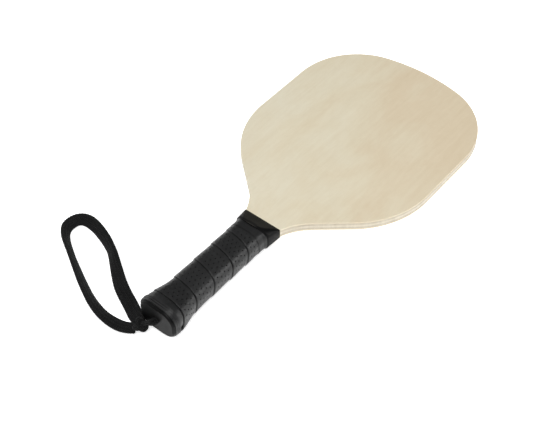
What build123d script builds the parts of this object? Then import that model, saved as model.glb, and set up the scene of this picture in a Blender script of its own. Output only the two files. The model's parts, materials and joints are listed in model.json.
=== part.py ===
from build123d import *
import os
from math import atan2, cos, degrees, radians, sin, sqrt, tan

# A wooden pickleball paddle with a taped grip and a braided wrist strap, lying face up on a
# level surface (z = 0). Millimetres. Row frame: +X from the butt to the tip, +Z up.
# The paddle itself is drawn in its own frame (x = 0 at the butt face, x = OVERALL at the tip,
# z = 0 at the middle of the plywood) and laid down at the end. The strap is drawn where it lies.

# Paddle: overall sizes
OVERALL = 400.0
BLADE_HALF_WIDTH = 99.0
FACE_PLY, CROSSBAND, CORE_PLY = 1.5, 2.0, 2.5
BLADE_HALF = FACE_PLY + CROSSBAND + CORE_PLY / 2
EDGE_ROUND = 0.5

# Blade outline, one half: neck, flare, shoulder, side, tip corner, tip crown
COLLAR_FAR = 140.5
NECK_HALF_WIDTH, NECK_RUN_IN = 16.0, 1.0  # where the neck's curve starts, inside the handle
NECK_CORNER_X, NECK_ROUND = 147.3, 61.0
SHOULDER_CORNER_X, SHOULDER_ROUND = 217.3, 89.3
TIP_ROUND = 73.3
CROWN_ROUND = 190.0

# Wooden handle core: the plies' tang between two scales, ramped down to the blade
CORE_START = 13.5
CORE_HALF_W, CORE_HALF_H, CORE_CORNER = 15.0, 12.0, 9.6
RAMP_START, RAMP_END = 121.5, 139.0
RAMP_END_HALF_H, RAMP_END_CORNER = BLADE_HALF + 0.4, 0.4
TANG_PLANING = 0.15  # the tang is planed this much under the blade's face
FACE_START = COLLAR_FAR + 0.2

# Butt cap: a flanged cup over the core's end. Sections are (x, half width, half height, corner).
CAP_FLANGE = [(0.0, 17.9, 13.9, 11.2), (0.9, 19.1, 15.1, 11.8), (2.5, 19.6, 15.6, 12.0)]
CAP_SKIRT = [(2.5, 18.1, 14.2, 11.2), (8.0, 18.8, 15.2, 12.0), (15.0, 18.0, 14.4, 11.6),
             (22.0, 16.8, 13.3, 10.8), (26.0, 16.2, 12.8, 10.4)]
CAP_WALL = 3.0
CORD_HOLE_R = 3.0

# Staples through the cap's skirt, one above and one below
STAPLE_X, STAPLE_WIDTH, STAPLE_DEPTH, STAPLE_WIRE = 19.0, 9.0, 6.5, 0.9
STAPLE_TOP = 13.7

# Grip tape and what holds its end, as (x, half width, half height, corner)
TAPE = [(2.5, 19.9, 16.0, 12.6), (8.0, 20.6, 17.0, 13.4), (15.0, 19.8, 16.2, 13.0),
        (22.0, 18.6, 15.1, 12.4), (30.0, 17.3, 14.1, 11.7), (36.0, 16.9, 13.8, 11.5),
        (RAMP_START, 16.9, 13.8, 11.5), (126.5, 17.9, 12.1, 9.2)]
FINISH_START, FINISH_THICK = 115.0, 0.35
COLLAR = [(125.5, 18.7, 13.5, 10.2), (COLLAR_FAR, 20.4, 5.35, 0.9)]

# Wrist strap, placed from the foot of the butt face: x along the paddle, y to its left
BRAID_WIDTH, BRAID_THICK, BRAID_EDGE_ROUND = 9.0, 3.4, 1.2
BRAID_GAP = 0.3  # lowest strap surface above the table
TAIL_R, TAIL_OUT, TAIL_IN = 2.6, 0.2, 1.0  # the ends stand out and in of the cap's wall this much
STOPPER_R, STOPPER_GAP = 5.2, 0.05
NECK_BALL_R, NECK_R = 2.6, 2.4
PIVOT_OUT = 3.2  # how far the neck's pivot stands out of the cord hole
KNOT_R = 6.2
KNOT_XY = (-7.0, 13.7)
LOOP_ROUTE = [(-2.2, 20.3), (-0.2, 26.6), (5.5, 39.0), (13.8, 59.0), (27.2, 78.2), (41.0, 97.6),
              (50.0, 123.5), (51.2, 140.4), (42.5, 149.1), (27.5, 146.6), (11.6, 118.8),
              (-9.4, 78.6), (-17.2, 55.0), (-17.9, 36.7), (-14.4, 24.2), (-11.5, 19.6)]

# How the paddle lies: on the taped end of the handle's straight part and on the lower edge of the tip
HEEL_X, HEEL_HALF_H = RAMP_START, TAPE[-2][2] + FINISH_THICK
TILT = atan2(HEEL_HALF_H - BLADE_HALF, OVERALL - HEEL_X)
BUTT_X = -OVERALL / 2
AXIS_Z = HEEL_X * sin(TILT) + HEEL_HALF_H * cos(TILT)


def section(x, half_w, half_h, corner):
    """A rounded rectangle across the handle at x."""
    across = Plane(origin=(x, 0, 0), x_dir=(0, 1, 0), z_dir=(1, 0, 0))
    return across * RectangleRounded(2 * half_w, 2 * half_h, corner)


def through(sections):
    """A solid with straight sides from each section to the next."""
    return loft([section(*s) for s in sections], ruled=True)


def grown(sections, by):
    return [(x, w + by, h + by, c + by) for x, w, h, c in sections]


def neck_start():
    """Where the neck's curve leaves the handle's straight sides."""
    flare = atan2(BLADE_HALF_WIDTH - NECK_HALF_WIDTH, SHOULDER_CORNER_X - NECK_CORNER_X)
    return NECK_CORNER_X - NECK_ROUND * tan(flare / 2)


def neck_half_width(x):
    """The blade's half width at x, on the neck's curve."""
    return NECK_HALF_WIDTH + NECK_ROUND - sqrt(NECK_ROUND ** 2 - (x - neck_start()) ** 2)


def blade_outline():
    """The blade seen from above, with a straight heel inside the handle."""
    heel_x = neck_start() - NECK_RUN_IN
    crown_x = OVERALL - CROWN_ROUND
    tip_y = BLADE_HALF_WIDTH - TIP_ROUND
    tip_x = crown_x + sqrt((CROWN_ROUND - TIP_ROUND) ** 2 - tip_y ** 2)
    turn = atan2(tip_y, tip_x - crown_x)
    on_crown = (crown_x + CROWN_ROUND * cos(turn), CROWN_ROUND * sin(turn))
    corner_middle = (turn + radians(90)) / 2
    on_corner = (tip_x + TIP_ROUND * cos(corner_middle), tip_y + TIP_ROUND * sin(corner_middle))
    flank = FilletPolyline(
        (heel_x, NECK_HALF_WIDTH), (NECK_CORNER_X, NECK_HALF_WIDTH),
        (SHOULDER_CORNER_X, BLADE_HALF_WIDTH), (tip_x, BLADE_HALF_WIDTH),
        radius=[NECK_ROUND, SHOULDER_ROUND],
    )
    corner = ThreePointArc((tip_x, BLADE_HALF_WIDTH), on_corner, on_crown)
    crown = ThreePointArc(on_crown, (OVERALL, 0), (on_crown[0], -on_crown[1]))
    other = [mirror(line, Plane.XZ) for line in (corner, flank)]
    heel = Line((heel_x, -NECK_HALF_WIDTH), (heel_x, NECK_HALF_WIDTH))
    return make_face([flank, corner, crown, *other, heel])


def slab(x_low, x_high, z_low, z_high):
    """A block wider than the paddle, for cutting."""
    size = (x_high - x_low, 4 * BLADE_HALF_WIDTH, z_high - z_low)
    return Pos((x_low + x_high) / 2, 0, (z_low + z_high) / 2) * Box(*size)


def ply(z_low, z_high, tang_low, tang_high):
    """One sheet of the plywood: its blade, and its tang inside the handle."""
    blade = Pos(0, 0, z_low) * extrude(blade_outline(), z_high - z_low)
    if z_high == BLADE_HALF:
        blade = fillet(blade.faces().sort_by(Axis.Z)[-1].edges(), EDGE_ROUND)
    if z_low == -BLADE_HALF:
        blade = fillet(blade.faces().sort_by(Axis.Z)[0].edges(), EDGE_ROUND)
    neck = blade & slab(RAMP_END, FACE_START, tang_low, tang_high)
    blade &= slab(FACE_START, OVERALL + 1, z_low, z_high)
    tang = handle_core() & slab(CORE_START, RAMP_END, tang_low, tang_high)
    return blade + neck + tang


def handle_core():
    straight = [(x, CORE_HALF_W, CORE_HALF_H, CORE_CORNER) for x in (CORE_START, RAMP_START)]
    end = (RAMP_END, neck_half_width(RAMP_END), RAMP_END_HALF_H, RAMP_END_CORNER)
    return through([*straight, end])


def staples():
    """Two U-shaped wires, crown flush with the cap's skirt and legs in the wood."""
    half = STAPLE_WIDTH / 2
    crown = Pos(STAPLE_X, 0, STAPLE_TOP - STAPLE_WIRE / 2) * Box(STAPLE_WIRE, STAPLE_WIDTH, STAPLE_WIRE)
    wire = crown
    for y in (-half + STAPLE_WIRE / 2, half - STAPLE_WIRE / 2):
        wire += Pos(STAPLE_X, y, STAPLE_TOP - STAPLE_DEPTH / 2) * Box(STAPLE_WIRE, STAPLE_WIRE, STAPLE_DEPTH)
    return wire, mirror(wire, Plane.XY)


def butt_cap():
    cup = through(CAP_FLANGE) + through(CAP_SKIRT)
    cup -= through([(x, CORE_HALF_W, CORE_HALF_H, CORE_CORNER) for x in (CAP_WALL, CAP_SKIRT[-1][0])])
    hole = Pos(CAP_WALL / 2, 0, 0) * Rot(0, 90, 0) * Cylinder(CORD_HOLE_R, 2 * CAP_WALL)
    return cup - hole


def arc_radii(route):
    """Each corner's radius: 0.45 of its shorter run over the tangent of half its turn."""
    radii = []
    for before, at, after in zip(route, route[1:], route[2:]):
        run_in = Vector(at[0] - before[0], at[1] - before[1])
        run_out = Vector(after[0] - at[0], after[1] - at[1])
        half_turn = radians(run_in.get_angle(run_out)) / 2
        radii.append(0.45 * min(run_in.length, run_out.length) / tan(half_turn))
    return radii


def strap_loop():
    """The flat braid lying on the table from the knot round and back to it."""
    middle = BRAID_GAP + BRAID_THICK / 2
    radii = arc_radii(LOOP_ROUTE)
    path = FilletPolyline(*[(BUTT_X + x, y, middle) for x, y in LOOP_ROUTE], radius=radii)
    start = Plane(origin=path @ 0, z_dir=path % 0, x_dir=(path % 0).cross(Vector(0, 0, 1)))
    flat = RectangleRounded(BRAID_WIDTH, BRAID_THICK, BRAID_EDGE_ROUND)
    braid = sweep(start * flat, path=path)
    print("loop radii", [round(r, 1) for r in radii])
    print("loop length", round(path.length, 1), "volume", round(braid.volume),
          "section x length", round(flat.area * path.length))
    return braid


def knot_centre():
    return BUTT_X + KNOT_XY[0], KNOT_XY[1], BRAID_GAP + KNOT_R


def strap_neck():
    """The doubled cord from the cord hole's mouth to the knot, with a ball at its pivot."""
    pivot = Vector(*(lay_down * Pos(-PIVOT_OUT, 0, 0)).position)
    knot = Vector(*knot_centre())
    along = knot - pivot
    stem = Plane(origin=pivot, z_dir=along.normalized()) * Cylinder(
        NECK_R, along.length, align=(Align.CENTER, Align.CENTER, Align.MIN))
    return stem + Pos(pivot) * Sphere(NECK_BALL_R) - Pos(knot) * Sphere(KNOT_R)


lay_down = Pos(BUTT_X, 0, AXIS_Z) * Rot(0, degrees(TILT), 0)

# Plywood, from the front face down
z1, z2 = CORE_PLY / 2, CORE_PLY / 2 + CROSSBAND
planed = BLADE_HALF - TANG_PLANING
paddle = {
    "face_ply_front": ply(z2, BLADE_HALF, z2, planed),
    "crossband_front": ply(z1, z2, z1, z2),
    "core_ply": ply(-z1, z1, -z1, z1),
    "crossband_back": ply(-z2, -z1, -z2, -z1),
    "face_ply_back": ply(-BLADE_HALF, -z2, -planed, -z2),
}

# Handle scales, glued to the tang's two sides
staple_front, staple_back = staples()
scales = handle_core() - slab(0, RAMP_END + 1, -planed, planed)
scales = scales - staple_front - staple_back
upper, lower = scales.solids().sort_by(Axis.Z)[::-1]
paddle["handle_scale_front"] = upper
paddle["handle_scale_back"] = lower

# Butt cap and its staples
cap = butt_cap()
paddle["butt_cap"] = cap - staple_front - staple_back
paddle["cap_staples"] = Compound([*staple_front.solids(), *staple_back.solids()])

# Grip tape over the cap's skirt and the core, its finishing tape, and the collar
wrapped = through(CAP_SKIRT) + handle_core()
paddle["grip_tape"] = through(TAPE) - wrapped
finish = grown([(FINISH_START, *TAPE[-2][1:]), *TAPE[-2:]], FINISH_THICK)
paddle["finishing_tape"] = through(finish) - through(TAPE)
collar = through(COLLAR) - through(finish) - handle_core()
for name in ("face_ply_front", "crossband_front", "core_ply", "crossband_back", "face_ply_back"):
    collar -= paddle[name]
paddle["grip_collar"] = collar

# Strap ends in the cord hole, and the knot that keeps them in
stopper_x = CAP_WALL + sqrt(STOPPER_R ** 2 - CORD_HOLE_R ** 2) + STOPPER_GAP
stopper = Pos(stopper_x, 0, 0) * Sphere(STOPPER_R)
tail_low, tail_high = -TAIL_OUT, CAP_WALL + TAIL_IN
tail = Pos((tail_low + tail_high) / 2, 0, 0) * Rot(0, 90, 0) * Cylinder(TAIL_R, tail_high - tail_low)
paddle["strap_tails"] = tail - stopper
paddle["strap_stopper_knot"] = stopper

nodes = {name: lay_down * solid for name, solid in paddle.items()}
nodes["strap_neck"] = strap_neck()
nodes["strap_knot"] = Pos(*knot_centre()) * Sphere(KNOT_R)
nodes["strap_loop"] = strap_loop()

os.makedirs("parts", exist_ok=True)
for name, solid in nodes.items():
    export_step(solid, f"parts/{name}.step")
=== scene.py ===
import json
from math import ceil, cos, pi, radians, sin, tan

import bmesh
import bpy
import numpy as np
from mathutils import Matrix, Vector
from mathutils.bvhtree import BVHTree


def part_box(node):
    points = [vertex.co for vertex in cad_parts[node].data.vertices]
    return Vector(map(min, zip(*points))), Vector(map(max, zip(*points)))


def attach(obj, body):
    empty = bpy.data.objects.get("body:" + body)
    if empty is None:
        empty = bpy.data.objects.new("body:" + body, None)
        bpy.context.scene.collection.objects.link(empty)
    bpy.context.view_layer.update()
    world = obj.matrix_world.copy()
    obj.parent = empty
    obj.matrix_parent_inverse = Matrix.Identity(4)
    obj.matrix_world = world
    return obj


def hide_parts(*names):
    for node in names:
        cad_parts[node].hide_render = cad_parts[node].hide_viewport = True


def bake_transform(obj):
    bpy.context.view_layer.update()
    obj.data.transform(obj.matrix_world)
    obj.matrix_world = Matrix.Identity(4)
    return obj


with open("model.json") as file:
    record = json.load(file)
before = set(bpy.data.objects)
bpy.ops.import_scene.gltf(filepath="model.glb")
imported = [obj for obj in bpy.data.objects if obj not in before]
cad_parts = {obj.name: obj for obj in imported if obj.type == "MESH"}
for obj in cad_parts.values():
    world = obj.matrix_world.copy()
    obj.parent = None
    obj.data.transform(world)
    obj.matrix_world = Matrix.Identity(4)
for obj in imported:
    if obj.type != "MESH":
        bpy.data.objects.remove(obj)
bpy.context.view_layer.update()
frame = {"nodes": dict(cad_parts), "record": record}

# A wooden pickleball paddle with a perforated grip tape and a braided wrist strap, lying face up.
# Row frame in metres. Sizes below are in millimetres and MM turns them into metres.
MM = 0.001
MOUNTS = {m["name"]: m for m in frame["record"]["mounts"]}

# The paddle's own frame: x from the butt face to the tip, y to the left, z out of the front face.
BUTT = np.array(MOUNTS["cord_hole"]["pos_m"])
ALONG = -np.array(MOUNTS["cord_hole"]["axis"])
UP = np.array(MOUNTS["front_face"]["axis"])
ACROSS = np.cross(UP, ALONG)
AXES = np.stack([ALONG, ACROSS, UP])


def paddle(points):
    """Points of the paddle's own frame, in millimetres, as points of the row frame."""
    return BUTT + MM * np.asarray(points, float) @ AXES


def into_paddle(points):
    """Points of the row frame as points of the paddle's own frame, in millimetres."""
    return (np.asarray(points, float) - BUTT) @ AXES.T / MM


# Camera: the direction it looks along, in the paddle's frame, and what it looks at
VIEW_AZIMUTH, VIEW_ELEVATION, VIEW_ROLL = 40.24, 48.36, -0.97
VIEW_TARGET = (142.17, -3.09, 0.36)
VIEW_DISTANCE = 1008.6
VIEW_LENS, VIEW_SENSOR = 75.07, 36.0


def camera():
    a, e, r = radians(VIEW_AZIMUTH), radians(VIEW_ELEVATION), radians(VIEW_ROLL)
    forward = np.array([cos(e) * cos(a), cos(e) * sin(a), -sin(e)])
    right = np.cross(forward, (0, 0, 1))
    right /= np.linalg.norm(right)
    up = np.cross(right, forward)
    right, up = right * cos(r) + up * sin(r), up * cos(r) - right * sin(r)
    place = paddle(np.array(VIEW_TARGET) - forward * VIEW_DISTANCE)
    columns = [v @ AXES for v in (right, up, -forward)] + [place]
    data = bpy.data.cameras.new("camera")
    data.lens, data.sensor_width = VIEW_LENS, VIEW_SENSOR
    obj = bpy.data.objects.new("camera", data)
    obj.matrix_world = Matrix([[*(c[i] for c in columns)] for i in range(3)] + [[0, 0, 0, 1]])
    bpy.context.collection.objects.link(obj)
    bpy.context.scene.camera = obj


# ---------------------------------------------------------------- materials

class Shader:
    """A node material: plain values go into the sockets, and other nodes are linked to them."""

    def __init__(self, name, **sockets):
        self.material = bpy.data.materials.new(name)
        self.material.use_nodes = True
        self.nodes = self.material.node_tree.nodes
        self.surface = self.nodes["Principled BSDF"]
        for socket, value in sockets.items():
            self.set(self.surface, socket.replace("_", " "), value)

    def set(self, node, socket, value):
        if isinstance(value, bpy.types.NodeSocket):
            self.material.node_tree.links.new(value, node.inputs[socket])
        else:
            node.inputs[socket].default_value = value

    def add(self, kind, inputs=(), output=0, **properties):
        node = self.nodes.new("ShaderNode" + kind)
        for name, value in properties.items():
            setattr(node, name, value)
        for socket, value in dict(inputs).items():
            self.set(node, socket, value)
        return node.outputs[output]

    def place(self, scale=(1, 1, 1), turn=(0, 0, 0)):
        """Object coordinates in metres, turned and then scaled."""
        at = self.add("TexCoord", output="Object")
        return self.add("Mapping", {"Vector": at, "Rotation": turn, "Scale": scale})

    def noise(self, vector, scale, detail=4.0, rough=0.55, distortion=0.0):
        inputs = {"Vector": vector, "Scale": scale, "Detail": detail, "Roughness": rough,
                  "Distortion": distortion}
        return self.add("TexNoise", inputs)

    def between(self, value, low, high, start=0.0, end=1.0):
        inputs = {"Value": value, "From Min": low, "From Max": high, "To Min": start, "To Max": end}
        return self.add("MapRange", inputs)

    def both(self, first, share, second):
        """Two noises as one value from 0 to 1, with this share for the first."""
        return self.maths("ADD", self.between(first, 0.3, 0.7, 0.0, share),
                          self.between(second, 0.3, 0.7, 0.0, 1 - share))

    def maths(self, operation, *values):
        return self.add("Math", dict(enumerate(values)), operation=operation)

    def ramp(self, value, *stops):
        output = self.add("ValToRGB", {"Fac": value})
        elements = output.node.color_ramp.elements
        while len(elements) < len(stops):
            elements.new(1.0)
        for element, (place, colour) in zip(elements, stops):
            element.position, element.color = place, (*colour, 1)
        return output

    def mix(self, share, a, b, blend="MIX"):
        inputs = {"Factor": share, 6: a, 7: b}
        return self.add("Mix", inputs, output=2, data_type="RGBA", blend_type=blend)

    def bump(self, height, distance, strength=1.0, normal=None):
        inputs = {"Height": height, "Distance": distance, "Strength": strength}
        if normal is not None:
            inputs["Normal"] = normal
        return self.add("Bump", inputs)

    def finish(self, **links):
        for socket, value in links.items():
            self.set(self.surface, socket.replace("_", " "), value)
        return self.material


def grey(value, warm=0.0):
    return (value * (1 + warm), value, value * (1 - warm))


def face_wood():
    """Pale lime-wood veneer with faint lengthwise grain, broad mottling and a warmer right half."""
    s = Shader("face_veneer", Coat_Weight=0.06, Coat_Roughness=0.45)
    level = (0, float(np.arcsin(ALONG[2])), 0)

    def figure(along, across, *look):
        return s.noise(s.place((along, across, across), level), 1.0, *look)

    fine = figure(22, 330, 6, 0.6, 0.6)
    streak = figure(7, 46, 5, 0.6, 1.4)
    broad = figure(11, 17, 4, 0.6, 0.8)
    curl = figure(70, 150, 4, 0.6, 1.2)
    split = s.add("SeparateXYZ", {"Vector": s.place()}).node
    side = s.maths("MULTIPLY_ADD", split.outputs[1], -3.2, 0.42)
    warm = s.maths("ADD", s.between(split.outputs[0], -0.06, 0.20, -0.1, 0.45), side)
    warm = s.maths("ADD", warm, s.between(broad, 0.3, 0.7, -0.35, 0.35))
    base = s.ramp(warm, (0.0, (0.611, 0.574, 0.456)), (0.55, (0.597, 0.541, 0.408)),
                  (1.0, (0.573, 0.490, 0.354)))
    grain = s.ramp(streak, (0.32, (0.972, 0.957, 0.938)), (0.66, (1.0, 1.0, 1.0)))
    lines = s.ramp(fine, (0.32, (0.970, 0.960, 0.945)), (0.60, (1, 1, 1)))
    ripple = s.ramp(curl, (0.34, (0.978, 0.968, 0.955)), (0.62, (1, 1, 1)))
    colour = s.mix(1.0, s.mix(1.0, base, grain, "MULTIPLY"), lines, "MULTIPLY")
    colour = s.mix(1.0, colour, ripple, "MULTIPLY")
    rough = s.between(fine, 0.3, 0.7, 0.5, 0.62)
    bump = s.bump(fine, 0.00012, 0.5)
    return s.finish(Base_Color=colour, Roughness=rough, Normal=bump)


def edge_wood(name, light, dark, across):
    """Plywood core and crossband: short end grain across the edge, with pores."""
    s = Shader(name, Roughness=0.62)
    fine = s.noise(s.place((420, 420, 60)), 1.0, 4, 0.6)
    broad = s.noise(s.place((across, across, 30)), 1.0, 3, 0.5)
    mixed = s.both(fine, 0.5, broad)
    colour = s.ramp(mixed, (0.1, dark), (0.85, light))
    return s.finish(Base_Color=colour, Normal=s.bump(fine, 0.0001, 0.6))


def plastic(name, tone, rough, grain, gloss):
    """Moulded black plastic or rubber with a fine spark-eroded texture and faint handling wear."""
    s = Shader(name, Specular_IOR_Level=gloss)
    at = s.place()
    fine = s.noise(at, grain, 3, 0.5)
    broad = s.noise(at, 55.0, 4, 0.6)
    colour = s.ramp(broad, (0.3, grey(tone * 0.8, -0.05)), (0.7, grey(tone * 1.25, -0.03)))
    roughness = s.between(broad, 0.3, 0.7, rough - 0.06, rough + 0.08)
    return s.finish(Base_Color=colour, Roughness=roughness, Normal=s.bump(fine, 0.00006, 0.5))


def tape_skin():
    """Soft polyurethane grip tape: fine leather pebble, with painted shade darkening its holes and
    creases and the rim turns' grooves.
    """
    s = Shader("grip_tape_skin", Specular_IOR_Level=0.36)
    at = s.place()
    pebble = s.add("TexVoronoi", {"Vector": at, "Scale": 1500.0}, feature="SMOOTH_F1")
    broad = s.noise(at, 70.0, 5, 0.6)
    # painted shade: the point attribute tone, 1 in the holes, less in the creases and rim grooves
    tone = s.add("Attribute", output="Fac", attribute_name="tone")
    mottle = s.noise(at, 420.0, 4, 0.7)
    worn = s.both(broad, 0.4, mottle)
    wear = s.ramp(worn, (0.1, grey(0.0018, -0.08)), (0.9, grey(0.0064, -0.05)))
    # the painted shade darkens the colour towards near black
    colour = s.mix(tone, wear, (0.0008, 0.0008, 0.001, 1))
    in_holes = s.maths("MULTIPLY", tone, 0.4)
    rough = s.maths("ADD", s.between(worn, 0.2, 0.8, 0.30, 0.46), in_holes)
    soft = s.bump(mottle, 0.00035, 0.5, s.bump(broad, 0.0005, 0.4))
    return s.finish(Base_Color=colour, Roughness=rough, Normal=s.bump(pebble, 0.0001, 0.5, soft))


def braid_yarn():
    """Black polyester yarn: fine filaments and a soft sheen."""
    s = Shader("strap_yarn", Roughness=0.75, Sheen_Weight=0.06, Sheen_Roughness=0.5,
               Specular_IOR_Level=0.09)
    at = s.place()
    fibre = s.noise(at, 1400.0, 3, 0.7)
    broad = s.noise(at, 90.0, 3, 0.5)
    mixed = s.both(fibre, 0.6, broad)
    colour = s.ramp(mixed, (0.1, grey(0.0018)), (0.9, grey(0.0065, -0.03)))
    return s.finish(Base_Color=colour, Normal=s.bump(fibre, 0.00015, 0.7))


def steel():
    s = Shader("staple_steel", Metallic=1.0)
    drawn = s.noise(s.place((300, 40, 300)), 3.0, 3, 0.5)
    colour = s.ramp(drawn, (0.3, grey(0.42)), (0.7, grey(0.60)))
    return s.finish(Base_Color=colour, Roughness=s.between(drawn, 0.3, 0.7, 0.28, 0.42))


def floor_paper():
    s = Shader("studio_floor", Base_Color=(0.93, 0.93, 0.93, 1), Roughness=0.9,
               Specular_IOR_Level=0.1, Emission_Color=(1, 1, 1, 1), Emission_Strength=0.55)
    return s.finish()


# ---------------------------------------------------------------- meshes

def piece(name, parts, skin, painted_shade=None):
    """One mesh object from (points in the row frame, faces) parts, smooth shaded.

    The last argument gives one value for each point, painted shade read by the grip tape's
    material: 1 in a hole or groove.
    """
    points, faces = [], []
    for part_points, part_faces in parts:
        faces += [tuple(int(i) + len(points) for i in f) for f in part_faces]
        points += [tuple(p) for p in part_points]
    mesh = bpy.data.meshes.new(name)
    mesh.from_pydata(points, [], faces)
    mesh.materials.append(skin)
    mesh.shade_smooth()
    obj = bpy.data.objects.new(name, mesh)
    bpy.context.collection.objects.link(obj)
    # painted shade kept as the point attribute tone
    if painted_shade is not None:
        mesh.attributes.new("tone", "FLOAT", "POINT").data.foreach_set("value", painted_shade)
    return obj


def node_span(name):
    """First and last x of a CAD node in the paddle's frame."""
    x = into_paddle([v.co for v in frame["nodes"][name].data.vertices])[:, 0]
    return float(x.min()), float(x.max())


def closed_band(rings):
    """Points and faces of a band whose rings run round and come back to the first one."""
    count, size = rings.shape[:2]
    return rings.reshape(-1, 3), ring_faces(count, size, count)


def ring_faces(count, size, steps):
    """Faces between each of the first steps rings and the one after it, of count rings in all."""
    return [(r * size + k, r * size + (k + 1) % size, (r + 1) % count * size + (k + 1) % size,
             (r + 1) % count * size + k) for r in range(steps) for k in range(size)]


def tree_of(name):
    mesh = frame["nodes"][name].data
    faces = [tuple(p.vertices) for p in mesh.polygons]
    return BVHTree.FromPolygons([v.co for v in mesh.vertices], faces)


# ---------------------------------------------------------------- grip tape

# Where the tape's overlaps lie: turns round the handle from its right side over the top, and x
TAPE_LEAD = [(-2.0, -30.0), (-1.0, -14.0), (-0.5, -4.0), (0.0, 13.0), (0.42, 15.5), (1.0, 32.0),
             (1.42, 38.2), (2.0, 54.8), (2.42, 63.9), (3.0, 79.2), (3.42, 86.8), (4.0, 100.0),
             (4.42, 107.0), (5.0, 121.0), (6.0, 143.0), (7.0, 165.0)]
TAPE_EASE = 0.1  # turns over which the lead changes
TAPE_STEP = 0.9  # height of an overlap
LEAD_SAMPLES = (-1, -0.5, 0, 0.5, 1)
FIRST_ROWS = (0.0, 0.006, 0.012, 0.022, 0.032, 0.045, 0.08, 0.12)  # mesh rows after an overlap
LAST_ROWS = (0.88, 0.94, 0.98)  # and before the next one, in shares of a pitch
OVERLAP_FOOT, OVERLAP_RISE = 0.012, 0.03  # the crease and the rise beside it, in shares of a pitch
CREASE_SHARE, CREASE_PAINTED_SHADE = 0.02, 0.75  # the part of a pitch where the crease gets painted shade, and how dark that painted shade is
FOOT_HEIGHT, FALL = -0.62, 0.72  # height of the crease and fall to the next one, in overlap heights
TURNS_BEFORE, TURNS = 1, 6  # the helix starts this much before the handle, and runs on past it
HOLE_RADIUS, HOLE_DEPTH = 0.66, 0.9
HOLE_SPACING = 4.7
HOLE_ROWS = (0.21, 0.40, 0.59, 0.78)  # rows of holes, in shares of the way to the next overlap
HOLE_STEPS = (-2, -1, 0, 1, 2)  # lines of the mesh across a hole
HOLE_RINGS = (0.0, 0.6, 1.0)  # mesh rings of a hole, in hole radii
RIM_END, RIM_EASE = 12.5, 3.0  # plain start of the tape, and how softly its overlaps end
PRESSED_STEP = 0.45  # overlap height left where the finishing tape starts
SUNK = -0.2  # height of the tape's points past the handle's ends
RIM_LAST, RIM_DROP = 8.4, 0.55  # where the rim turns end, and how far the tape sinks under them
RIM_LEAN = 0.4  # turn in radians from the left side to where the rim turns stand out most
INNER_GAP, INNER_SHIFT = 2.4, 0.3  # how far inside its surface the tape is closed
INSET = 0.05  # from the ends of the CAD tape, where its section is measured
CAST_FROM = 60.0  # distance from the axis of the points that rays are cast from
MERGE, SHORT_EDGE = 2e-6, 1e-6  # metres: points this near become one, and shorter edges go
TAPE_CREASE, RIM_CREASE, COLLAR_CREASE = radians(34), radians(30), radians(38)  # sharp from here


def grip_sections():
    """First x, last x, and the tape's outer radius at x and an angle from the right side."""
    tree = tree_of("grip_tape")
    low, high = node_span("grip_tape")

    def radius(x, turn):
        x = min(max(x, low + INSET), high - INSET)
        out = np.array([0, -cos(turn), sin(turn)])
        start = paddle(np.array([x, 0, 0]) + CAST_FROM * out)
        far = tree.ray_cast(Vector(start), Vector(-(out @ AXES)))[3]
        return CAST_FROM - far / MM

    return low, high, radius


def lead(turn):
    """x of the tape's edge after so many turns."""
    turns, places = zip(*TAPE_LEAD)
    near = [turn + TAPE_EASE * k for k in LEAD_SAMPLES]
    return float(np.mean(np.interp(near, turns, places)))


def overlap_height(share):
    """Height of the tape over its mean, from one overlap (0) to the next (1), or past the ends."""
    if share is None:
        return SUNK
    if share < OVERLAP_FOOT:
        return FOOT_HEIGHT * TAPE_STEP
    rise = min(1.0, (share - OVERLAP_FOOT) / OVERLAP_RISE)
    top = FOOT_HEIGHT + (0.5 - FOOT_HEIGHT) * sin(rise * pi / 2)
    return TAPE_STEP * top - TAPE_STEP * FALL * max(0.0, share - OVERLAP_FOOT - OVERLAP_RISE)


def grip_rows():
    """Rows of one pitch as (share, step from a hole's middle, number of its row of holes)."""
    rows = [(place, 0, None) for place in FIRST_ROWS]
    for number, place in enumerate(HOLE_ROWS):
        rows += [(place, step, number) for step in HOLE_STEPS]
    return rows + [(place, 0, None) for place in LAST_ROWS]


def hole_point(step, row_step, in_hole):
    """Offset round the girth and along x of a point near a hole's place, its depth and its painted
    shade.
    """
    if not in_hole:
        around, along = (HOLE_RINGS[abs(k)] * HOLE_RADIUS * np.sign(k) for k in (step, row_step))
        return around, along, 0.0, 0.0
    ring_number = max(abs(step), abs(row_step))
    size = (step ** 2 + row_step ** 2) ** 0.5 or 1.0
    reach = HOLE_RINGS[ring_number] * HOLE_RADIUS
    # painted shade of 1 on the hole's two inner rings, none on its outer ring
    depth, tone = (HOLE_DEPTH, 1.0) if ring_number < 2 else (0.0, 0.0)
    return reach * step / size, reach * row_step / size, depth, tone


def wrap_height(x, share, turn, low, pressed):
    """Height of the tape, flatter at its start, under the rim turns and the finishing tape."""
    height = overlap_height(share) * min(1.0, (x - low) / RIM_EASE)
    drop = RIM_DROP * rim_side(turn)
    height = (height + drop) * min(1.0, max(0.0, (x - RIM_LAST) / RIM_EASE)) - drop
    if x > pressed - RIM_EASE:
        height = min(height, PRESSED_STEP * (pressed - x) / RIM_EASE)
    return height


def rim_side(turn):
    """One on the left and upper side, where the rim turns stand out, none on the right."""
    return max(0.0, -cos(turn + RIM_LEAN))


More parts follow.
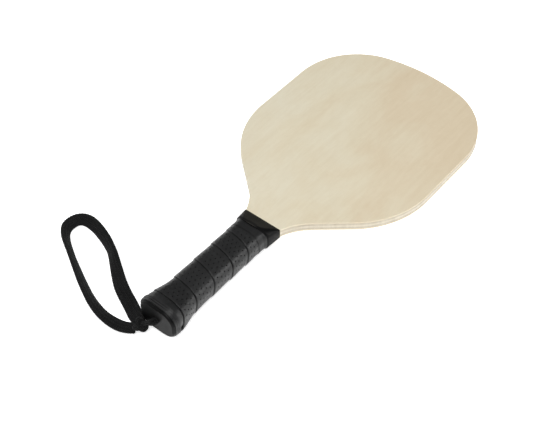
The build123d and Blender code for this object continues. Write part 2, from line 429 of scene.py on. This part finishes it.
def grip_tape(skin):
    low, high, radius = grip_sections()
    middle = (low + high) / 2
    pressed = node_span("finishing_tape")[0]
    # Turns evenly spaced along the girth, so that the holes are too
    fine = np.linspace(0, 2 * pi, 721)
    ring = np.array([[-cos(t) * radius(middle, t), sin(t) * radius(middle, t)] for t in fine])
    girth = np.concatenate([[0], np.cumsum(np.linalg.norm(np.diff(ring, axis=0), axis=1))])
    holes = 2 * round(girth[-1] / HOLE_SPACING / 2)
    spacing = girth[-1] / holes
    # Columns: five round each hole and each gap between holes, where the staggered rows have theirs
    columns = [(number, step) for number in range(2 * holes) for step in HOLE_STEPS]
    rows = grip_rows()
    points, painted_shade = [], []
    for half_number, step in columns:
        for row in range(TURNS * len(rows) + 1):
            pitch_number, inside = divmod(row, len(rows))
            share, row_step, hole_row = rows[inside]
            in_hole = hole_row is not None and (half_number + hole_row) % 2 == 0
            offset_girth, offset_x, depth, tone = hole_point(step, row_step, in_hole)
            along_girth = half_number * spacing / 2 + offset_girth
            turn = float(np.interp(along_girth % girth[-1], girth, fine))
            turned = pitch_number - TURNS_BEFORE + along_girth / girth[-1]
            place = (1 - share) * lead(turned) + share * lead(turned + 1) + offset_x
            x = min(max(place, low), high)
            height = wrap_height(x, share, turn, low, pressed)
            if place != x:
                height = wrap_height(x, None, turn, low, pressed)
            if x > pressed - RIM_EASE or place != x or x < RIM_END:
                depth = 0.0
            # painted shade along each overlap's crease, and none on the plain start
            if share < CREASE_SHARE:
                tone = CREASE_PAINTED_SHADE
            if x < RIM_END:
                tone = 0.0
            r = radius(x, turn) + height - depth
            points.append(paddle([x, -cos(turn) * r, sin(turn) * r]))
            painted_shade.append(tone)
    size = TURNS * len(rows) + 1
    faces = []
    for column in range(len(columns)):
        last = column == len(columns) - 1
        for row in range(size - 1 - (len(rows) if last else 0)):
            a = column * size + row
            b = a + size if not last else row + len(rows)
            faces.append((a, a + 1, b + 1, b))
    obj = piece("grip_tape_wrap", [(points, faces)], skin, painted_shade)
    mesh = bmesh.new()
    mesh.from_mesh(obj.data)
    bmesh.ops.remove_doubles(mesh, verts=mesh.verts, dist=MERGE)
    bmesh.ops.dissolve_degenerate(mesh, edges=mesh.edges, dist=SHORT_EDGE)
    edge = [e for e in mesh.edges if e.is_boundary]
    around = bmesh.ops.extrude_edge_only(mesh, edges=edge)
    for v in [g for g in around["geom"] if isinstance(g, bmesh.types.BMVert)]:
        x, y, z = into_paddle(v.co)
        share = 1 - INNER_GAP / (y * y + z * z) ** 0.5
        v.co = paddle([x + (0.0 if x > middle else INNER_SHIFT), y * share, z * share])
    inner = [g for g in around["geom"] if isinstance(g, bmesh.types.BMEdge) and g.is_boundary]
    bmesh.ops.bridge_loops(mesh, edges=inner)
    bmesh.ops.recalc_face_normals(mesh, faces=mesh.faces)
    mesh.to_mesh(obj.data)
    mesh.free()
    obj.data.set_sharp_from_angle(angle=TAPE_CREASE)
    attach(obj, "paddle")
    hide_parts("grip_tape")


# ---------------------------------------------------------------- rim turns and collar

# Rings of the rim turns: x and height over the tape
RIM_STEPS = [(2.7, -0.6), (2.8, 1.0), (4.2, 1.1), (4.3, -0.1), (4.7, -0.1), (4.8, 0.8), (6.1, 0.9),
             (6.2, -0.3), (6.6, -0.3), (6.7, 0.5), (8.0, 0.4), (8.4, -0.6), (5.0, -0.9)]
RIM_HIDDEN, RIM_GROOVE = -0.5, 0.0  # rings lower than these are inside the tape, or grooves that get painted shade
RIM_RIGHT = 0.3  # share of the steps that is left on the right side
# painted shade in the rim turns' grooves
RIM_GROOVE_PAINTED_SHADE = 0.9


def tape_start(skin):
    """The tape's first turns, drawn tight over the cap's edge, with deeper steps on the left."""
    radius = grip_sections()[2]
    turns = np.linspace(0, 2 * pi, 181)[:-1]
    rings = []
    for x, height in RIM_STEPS:
        ring = []
        for turn in turns:
            lift = RIM_RIGHT + (1 - RIM_RIGHT) * rim_side(turn) if height > RIM_HIDDEN else 1.0
            r = radius(x, turn) + height * lift
            ring.append(paddle([x, -cos(turn) * r, sin(turn) * r]))
        rings.append(ring)
    # painted shade on the rings that lie in grooves
    groove_painted_shade = [RIM_GROOVE_PAINTED_SHADE if RIM_HIDDEN < height < RIM_GROOVE else 0.0 for _, height in RIM_STEPS]
    painted_shade = [tone for tone in groove_painted_shade for _ in turns]
    obj = piece("grip_tape_start", [closed_band(np.array(rings))], skin, painted_shade)
    outward_faces(obj)
    obj.data.set_sharp_from_angle(angle=RIM_CREASE)
    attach(obj, "paddle")


# Half width, height of the side corner, height and squareness of the crown, at both ends
COLLAR_MOUTH, COLLAR_END = (18.7, 4.6, 14.7, 2.8), (20.4, 5.0, 5.38, 9.0)
COLLAR_ROUND = 0.7  # power that rounds the crown off towards its corners
COLLAR_CORNER = 0.985, 0.3  # the corner's bevel: share of the half width, and drop of the side
COLLAR_RINGS = 13
COLLAR_ARCH = np.linspace(0.2, pi - 0.2, 41)  # their cosines give the points across the crown
COLLAR_LIP, COLLAR_WALL = 0.35, 0.9
COLLAR_TONGUE = 3.2  # how much further the mouth reaches over the tape in the middle
COLLAR_INNER_TONGUE = 0.3  # share of the tongue that is left inside the underside's mouth
COLLAR_UNDER_SLOPE = 0.44  # the underside has no tongue: its mouth is drawn back up the slope
CLEAR_OF_CAD, CLEAR_OF_TAPE = 0.03, 0.4


def collar(skin):
    """A sleeve with upright sides, crisp corners and a crowned top that runs down to the blade."""
    first, last = node_span("grip_collar")
    covers = [(tree_of("grip_collar"), CLEAR_OF_CAD), (tree_of("finishing_tape"), CLEAR_OF_TAPE)]

    def height_over(x, y, least):
        for tree, clear in covers:
            far = tree.ray_cast(Vector(paddle([x, y, CAST_FROM])), Vector(-UP))[3]
            if far is not None:
                least = max(least, CAST_FROM - far / MM + clear)
        return least

    bevel, side_drop = COLLAR_CORNER
    across = np.concatenate([[1.0, bevel], np.cos(COLLAR_ARCH), [-bevel, -1.0]])
    upper = []
    for share in np.linspace(0, 1, COLLAR_RINGS):
        width, corner, top, square = (a + (b - a) * share for a, b in zip(COLLAR_MOUTH, COLLAR_END))
        starts = first - COLLAR_TONGUE * (1 - across ** 2)
        x = starts + (last - starts) * share
        arch = corner + (top - corner) * (1 - np.abs(across) ** square) ** COLLAR_ROUND
        y = across * width
        z = np.array([height_over(*at) for at in zip(x, y, arch)])
        z[[0, -1]] = corner - side_drop
        upper.append(np.stack([x, y, z], 1))
    upper = np.array(upper)

    def ring(points, shift_x, inset):
        scale = np.array([1, 1 - inset / COLLAR_MOUTH[0], 1])
        points = points * scale + (shift_x, 0, 0)
        points[:, 2] -= inset
        under = points * (1, 1, -1)
        tongue = np.maximum(0, first - under[:, 0])
        back = tongue * (1 - inset / COLLAR_WALL * COLLAR_INNER_TONGUE)
        under = under + np.stack([back, 0 * back, back * COLLAR_UNDER_SLOPE], 1)
        sides = points[:1] * (1, 1, 0), points[-1:] * (1, 1, 0)
        loop = np.concatenate([sides[0], points, sides[1], under[::-1]])
        return [paddle(p) for p in loop]

    rings = [ring(upper[0], 0, COLLAR_WALL), ring(upper[0], 0, COLLAR_LIP),
             ring(upper[0], COLLAR_LIP, 0)]
    rings += [ring(points, 0, 0) for points in upper[1:-1]]
    rings += [ring(upper[-1], -COLLAR_LIP, 0), ring(upper[-1], 0, COLLAR_LIP / 2)]
    rings += [ring(points, 0, COLLAR_LIP / 2 + (COLLAR_WALL - COLLAR_LIP / 2) * k / 4)
              for k, points in enumerate(upper[::-3][1:], 1)]
    obj = piece("collar_sleeve", [closed_band(np.array(rings))], skin)
    outward_faces(obj)
    obj.data.set_sharp_from_angle(angle=COLLAR_CREASE)
    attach(obj, "paddle")
    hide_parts("grip_collar")


# ---------------------------------------------------------------- strap

STRAP_WIDTH, STRAP_THICK = 11.5, 3.5
STRAP_SQUARE = 0.78  # power of the section's cosine and sine: 1 is an ellipse, less is squarer
STRAND_ANGLE, STRAND_THICK = radians(39), 0.34
STRAND_OVERLAP = 1.04  # width of a strand in shares of the room it has
STRAND_WAVE, STRAND_FLAT = 0.55, 1.5  # how far a strand goes over and under, and how flat it stays
CORE_STEP, CORE_INSET = 15, 1.1  # degrees between the core's edges; inset in strand thicknesses
STRAP_STRANDS, KNOT_STRANDS, NECK_STRANDS = 16, 12, 8
# The route of the wrist loop over the floor, in metres: x, y and height in the row frame, and
# how far the flat braid is rolled about its own line there, in degrees
LOOP_ROUTE = [
    (-0.2042, 0.0175, 0.0046, 0), (-0.2015, 0.0252, 0.0032, 2), (-0.1954, 0.0373, 0.0027, 4),
    (-0.1874, 0.0569, 0.0032, 12), (-0.1750, 0.0750, 0.0050, 32), (-0.1614, 0.0938, 0.0062, 54),
    (-0.1522, 0.1200, 0.0056, 42), (-0.1504, 0.1378, 0.0044, 24), (-0.1582, 0.1463, 0.0040, 20),
    (-0.1745, 0.1435, 0.0058, 52), (-0.1909, 0.1150, 0.0061, 60), (-0.2115, 0.0748, 0.0057, 48),
    (-0.2187, 0.0521, 0.0047, 30), (-0.2187, 0.0346, 0.0036, 14), (-0.2155, 0.0224, 0.0036, 6),
    (-0.2112, 0.0163, 0.0046, 0),
]
# The braid's width along the loop, as shares of its length and of its width
LOOP_WIDTHS = ([0, 0.03, 0.14, 0.3, 0.5, 0.62, 0.75, 0.95, 1],
               [1.0, 1.15, 1.13, 1.04, 1.0, 0.84, 1.06, 1.1, 0.95])


def unit(v):
    return v / np.maximum(np.linalg.norm(v, axis=-1, keepdims=True), 1e-12)


def spline_points(name, control, resolution=24):
    """Points along the smooth NURBS line of these control points."""
    curve = bpy.data.curves.new(name, "CURVE")
    curve.dimensions = "3D"
    spline = curve.splines.new("NURBS")
    spline.points.add(len(control) - 1)
    for point, place in zip(spline.points, control):
        point.co = (*place[:3], 1)
    spline.order_u, spline.use_endpoint_u = 3, True
    spline.resolution_u = resolution
    obj = bpy.data.objects.new(name, curve)
    mesh = bpy.data.meshes.new_from_object(obj)
    points = np.array([v.co for v in mesh.vertices])
    bpy.data.meshes.remove(mesh)
    bpy.data.curves.remove(curve)
    return points


def lengths(points):
    return np.concatenate([[0], np.cumsum(np.linalg.norm(np.diff(points, axis=0), axis=1))])


def evenly(points, step):
    along = lengths(points)
    at = np.linspace(0, along[-1], ceil(along[-1] / step) + 1)
    return np.stack([np.interp(at, along, points[:, k]) for k in range(3)], axis=1), at


def frames(points, upright=None):
    """Tangent, side and normal at each point; the normal stays upright or turns the least."""
    tangent = unit(np.gradient(points, axis=0))
    if upright is not None:
        normal = np.broadcast_to(np.array(upright, float), points.shape)
        normal = unit(normal - (normal * tangent).sum(1, keepdims=True) * tangent)
    else:
        first = np.cross(tangent[0], (0.3, 0.2, 1.0))
        normal = [unit(first - first @ tangent[0] * tangent[0])]
        for t in tangent[1:]:
            normal.append(unit(normal[-1] - normal[-1] @ t * t))
        normal = np.array(normal)
    return tangent, np.cross(tangent, normal), normal


def flat_section(half_width, half_thick, count=360):
    """Evenly spaced points and outward normals round a flattened oval, and its girth."""
    t = np.linspace(0, 2 * pi, 8 * count + 1)
    x = half_width * np.sign(np.cos(t)) * np.abs(np.cos(t)) ** STRAP_SQUARE
    y = half_thick * np.sign(np.sin(t)) * np.abs(np.sin(t)) ** STRAP_SQUARE
    along = np.concatenate([[0], np.cumsum(np.hypot(np.diff(x), np.diff(y)))])
    at = np.linspace(0, along[-1], count + 1)
    x, y = np.interp(at, along, x), np.interp(at, along, y)
    dx = np.gradient(np.concatenate([x[-2:-1], x, x[1:2]]))[1:-1]
    dy = np.gradient(np.concatenate([y[-2:-1], y, y[1:2]]))[1:-1]
    normal = unit(np.stack([dy, -dx], 1))
    return np.stack([x, y], 1), normal, along[-1]


def braid(points, half_width, half_thick, roll, strands, upright=None, wide=None):
    """A tubular braid along points: two families of strands, two over and two under, and a core."""
    girth = flat_section(half_width, half_thick)[2]
    pitch = girth / tan(STRAND_ANGLE)
    line, along = evenly(points, pitch / (4 * strands))
    share = along / along[-1]
    tangent, side, normal = frames(line, upright)
    angle = np.radians(np.interp(share, *roll))[:, None]
    side, normal = (side * np.cos(angle) + normal * np.sin(angle),
                    normal * np.cos(angle) - side * np.sin(angle))
    scale = np.interp(share, *wide) if wide else np.ones(len(share))
    section, outward, _ = flat_section(half_width - STRAND_THICK, half_thick - STRAND_THICK)
    half_strand = 0.5 * girth / strands * cos(STRAND_ANGLE) * STRAND_OVERLAP
    grid = np.linspace(0, 1, len(section))
    parts = []
    for way in (1, -1):
        for number in range(strands):
            turn = (number / strands + way * along / pitch) % 1.0
            at = [np.interp(turn, grid, section[:, k]) for k in range(2)]
            out = unit(np.stack([np.interp(turn, grid, outward[:, k]) for k in range(2)], 1))
            crossing = 2 * number + way * 2 * strands * along / pitch
            wave = np.clip(STRAND_FLAT * np.cos(2 * pi * (crossing - 0.5) / 4), -1, 1) * way
            rise = out[:, :1] * side + out[:, 1:] * normal
            around = np.cross(tangent, rise)
            centre = line + (at[0] * scale)[:, None] * side + at[1][:, None] * normal
            centre = centre + rise * (STRAND_WAVE * STRAND_THICK * wave)[:, None]
            width = unit(around * cos(STRAND_ANGLE) + way * tangent * sin(STRAND_ANGLE))
            reach = half_strand * scale[:, None]
            top = rise * STRAND_THICK
            ring = [centre - width * reach, centre - width * 0.5 * reach + top,
                    centre + width * 0.5 * reach + top, centre + width * reach]
            parts.append(tube(np.stack(ring, 1)))
    core = []
    for k in range(0, 360, CORE_STEP):
        x, y = section[k] * (1 - CORE_INSET * STRAND_THICK / half_thick)
        core.append(line[::4] + (x * scale[::4])[:, None] * side[::4] + y * normal[::4])
    parts.append(tube(np.stack(core, 1)))
    return parts, line


def tube(rings):
    """Closed tube from rings of points, shaped (rings, points in a ring, 3)."""
    count, size = rings.shape[:2]
    faces = ring_faces(count, size, count - 1)
    faces += [tuple(range(size))[::-1], tuple((count - 1) * size + k for k in range(size))]
    return rings.reshape(-1, 3), faces


def in_metres(parts):
    return [(points * MM, faces) for points, faces in parts]


def outward_faces(obj):
    mesh = bmesh.new()
    mesh.from_mesh(obj.data)
    bmesh.ops.recalc_face_normals(mesh, faces=mesh.faces)
    mesh.to_mesh(obj.data)
    mesh.free()


def strap(yarn):
    line = spline_points("loop_line", LOOP_ROUTE)
    corners = np.array([p[:3] for p in LOOP_ROUTE])
    steps = lengths(corners)
    roll = (steps / steps[-1], [p[3] for p in LOOP_ROUTE])
    parts, path = braid(line / MM, STRAP_WIDTH / 2, STRAP_THICK / 2, roll, STRAP_STRANDS, (0, 0, 1),
                        LOOP_WIDTHS)
    loop = piece("wrist_loop_braid", in_metres(parts), yarn)
    outward_faces(loop)
    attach(loop, "strap_loop")
    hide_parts("strap_loop")

    low, high = (np.array(v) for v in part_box("strap_knot"))
    knot = overhand_knot((low + high) / 2, yarn)
    neck = bunched_neck((low + high) / 2, yarn)


KNOT_SIZE = 1.5  # millimetres to a unit of the trefoil
KNOT_CORD = (3.3, 2.1)  # half width and half thickness of the cord in the knot
KNOT_SHIFT = (-0.4, -0.7, 0.6)  # the drawn knot's middle from the CAD knot's
KNOT_DEPTH = 0.95  # of the trefoil, in its units
KNOT_TIP, KNOT_TURN = radians(20), radians(20)
KNOT_CLEAR = 0.25  # from the floor
NECK_CORD = (1.75, 1.4)
NECK_APART = 1.45  # of each of the two ends from the middle of the hole


def overhand_knot(middle, yarn):
    t = np.linspace(0, 2 * pi, 400)
    trefoil = np.stack([np.sin(t) + 2 * np.sin(2 * t), np.cos(t) - 2 * np.cos(2 * t),
                        -KNOT_DEPTH * np.sin(3 * t)], 1)
    tilt = np.array(Matrix.Rotation(KNOT_TURN, 3, "Z") @ Matrix.Rotation(KNOT_TIP, 3, "X"))
    line = trefoil * KNOT_SIZE @ tilt.T + middle / MM + KNOT_SHIFT
    parts, _ = braid(line, *KNOT_CORD, ([0, 1], [0, 180]), KNOT_STRANDS)
    lowest = min(points[:, 2].min() for points, _ in parts)
    raised = np.array([0, 0, max(0.0, KNOT_CLEAR - lowest)])
    parts = [(points + raised, faces) for points, faces in parts]
    obj = piece("strap_overhand_knot", in_metres(parts), yarn)
    outward_faces(obj)
    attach(obj, "strap_end")
    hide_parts("strap_knot")
    return obj


def bunched_neck(knot, yarn):
    """The strap's two ends from inside the butt cap, through its hole, to the knot."""
    hole = paddle([0, 0, 0])
    parts = []
    for side in (-1, 1):
        inside = paddle([4, NECK_APART * side, 0.3 * side])
        mouth = paddle([-1, NECK_APART * side, 0.3 * side])
        out = paddle([-4.5, 2 + 1.7 * side, -1.5 + 0.8 * side])
        drop = knot + (hole - knot) * 0.35 + MM * np.array([0.6 * side, 0.5, 1.5])
        end = knot + MM * np.array([side, 0, 0])
        line = spline_points("neck_line", [inside, mouth, out, drop, end])
        strands, _ = braid(line / MM, *NECK_CORD, ([0, 1], [0, 60]), NECK_STRANDS)
        parts += strands
    obj = piece("strap_bunched_neck", in_metres(parts), yarn)
    outward_faces(obj)
    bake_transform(obj)
    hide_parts("strap_neck")
    return obj


# ---------------------------------------------------------------- studio

def area_light(name, place, towards, size, power):
    data = bpy.data.lights.new(name, "AREA")
    data.shape, data.size, data.energy = "DISK", size, power
    obj = bpy.data.objects.new(name, data)
    obj.location = place
    obj.rotation_euler = (Vector(towards) - Vector(place)).to_track_quat("-Z", "Y").to_euler()
    bpy.context.collection.objects.link(obj)


# The surroundings' light by the height of its direction: dim low down, bright overhead
WORLD_DOME = {"From Min": 0.35, "From Max": 1.0, "To Min": 0.14, "To Max": 0.8}
FLOOR_REACH = 3.0
# Lights: name, place and what it shines at in metres, size in metres and power in watts
LIGHTS = [
    ("overhead", (-0.8, -0.5, 1.8), (0, 0, 0), 1.6, 33),
    ("right_side", (0.9, -1.7, 0.6), (-0.1, 0, 0), 0.9, 13),
    ("left_side", (0.1, 1.8, 0.7), (-0.15, 0, 0), 1.1, 8),
]


def studio():
    mesh = bpy.data.meshes.new("floor")
    corners = [(-1, -1, 0), (1, -1, 0), (1, 1, 0), (-1, 1, 0)]
    mesh.from_pydata(FLOOR_REACH * np.array(corners, float), [], [(0, 1, 2, 3)])
    mesh.materials.append(floor_paper())
    floor = bpy.data.objects.new("floor", mesh)
    bpy.context.collection.objects.link(floor)
    world = bpy.data.worlds.new("studio")
    bpy.context.scene.world = world
    world.use_nodes = True
    nodes, links = world.node_tree.nodes, world.node_tree.links
    background = nodes["Background"]
    background.inputs["Color"].default_value = (1, 1, 1, 1)
    height = nodes.new("ShaderNodeSeparateXYZ")
    links.new(nodes.new("ShaderNodeTexCoord").outputs["Generated"], height.inputs[0])
    dome = nodes.new("ShaderNodeMapRange")
    for socket, value in WORLD_DOME.items():
        dome.inputs[socket].default_value = value
    links.new(height.outputs[2], dome.inputs["Value"])
    links.new(dome.outputs[0], background.inputs["Strength"])
    for light in LIGHTS:
        area_light(*light)
    bpy.context.scene.view_settings.view_transform = "Standard"


def dress_cad_nodes(yarn):
    veneer = face_wood()
    crossband = edge_wood("crossband_wood", (0.50, 0.445, 0.35), (0.40, 0.345, 0.26), 90)
    core = edge_wood("core_wood", (0.61, 0.56, 0.455), (0.50, 0.45, 0.355), 60)
    cap = plastic("cap_plastic", 0.0022, 0.42, 1600.0, 0.08)
    vinyl = plastic("finishing_vinyl", 0.0055, 0.40, 2200.0, 0.26)
    skins = {
        "face_ply_front": veneer, "face_ply_back": veneer, "crossband_front": crossband,
        "crossband_back": crossband, "core_ply": core, "handle_scale_front": core,
        "handle_scale_back": core, "butt_cap": cap, "cap_staples": steel(),
        "finishing_tape": vinyl, "strap_tails": yarn, "strap_stopper_knot": yarn,
    }
    for name, skin in skins.items():
        for slot in frame["nodes"][name].material_slots:
            slot.material = skin


camera()
studio()
yarn_skin = braid_yarn()
rubber_skin = plastic("collar_rubber", 0.0026, 0.44, 900.0, 0.09)
dress_cad_nodes(yarn_skin)
tape = tape_skin()
grip_tape(tape)
tape_start(tape)
collar(rubber_skin)
strap(yarn_skin)
